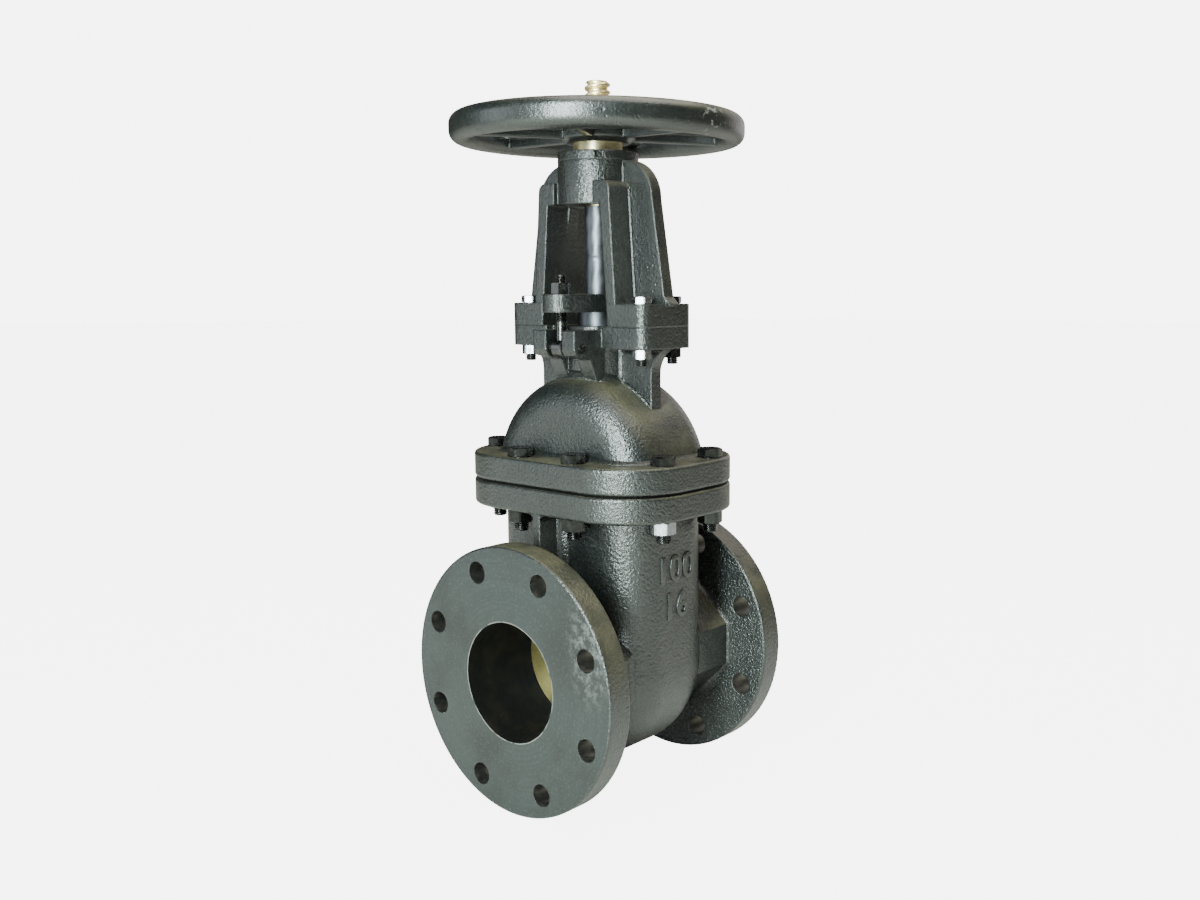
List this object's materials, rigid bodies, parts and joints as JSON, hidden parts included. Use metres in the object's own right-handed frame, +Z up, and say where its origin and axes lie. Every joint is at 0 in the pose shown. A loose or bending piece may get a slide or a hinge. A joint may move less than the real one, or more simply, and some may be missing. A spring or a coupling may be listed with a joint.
{
  "type": "flanged gate valve",
  "caption": "Flanged gate valve, outside screw and yoke: the handwheel turns a threaded sleeve that lifts the rising stem and its wedge clear of a straight round waterway.",
  "frame": {"origin": "centre of the inlet flange's face, on the waterway axis", "axes": "+X along the waterway from inlet to outlet, +Z up along the stem, +Y across the body to the left of the flow"},
  "size_m": [0.25, 0.25, 0.6113],
  "materials": {
    "painted_iron": "black satin paint over sand-cast iron",
    "bronze": "machined",
    "steel": "turned and zinc plated",
    "gasket": "graphited fibre sheet",
    "packing": "graphited braid"
  },
  "bodies": {
    "housing": {"body": "painted_iron", "inlet_flange": "painted_iron", "outlet_flange": "painted_iron", "inlet_body_ring": "bronze", "outlet_body_ring": "bronze", "bonnet_gasket": "gasket", "bonnet": "painted_iron", "stem_packing": "packing", "gland": "steel", "gland_flange": "painted_iron", "gland_eyebolt_in": "steel", "gland_eyebolt_out": "steel", "eyebolt_pin_in": "steel", "eyebolt_pin_out": "steel", "gland_nut_in": "steel", "gland_nut_out": "steel", "stem_cover": "steel", "yoke": "painted_iron", "sleeve_retainer": "painted_iron"},
    "wheel": {"handwheel": "painted_iron", "yoke_sleeve": "bronze", "handwheel_nut": "steel"},
    "rising": {"stem": "bronze", "wedge": "painted_iron", "wedge_ring_in": "bronze", "wedge_ring_out": "bronze"}
  },
  "joints": [
    {"name": "handwheel_turn", "type": "hinge", "parent": "housing", "child": "wheel", "pos_m": [0.1143, 0, 0.4565], "axis": [0, 0, 1], "range_deg": [0, 6120]},
    {"name": "stem_rise", "type": "slide", "parent": "housing", "child": "rising", "axis": [0, 0, 1], "range_m": [0, 0.108]}
  ],
  "couplings": [
    {"joint": "stem_rise", "follows": "handwheel_turn", "m_per_rad": 0.0010106}
  ]
}
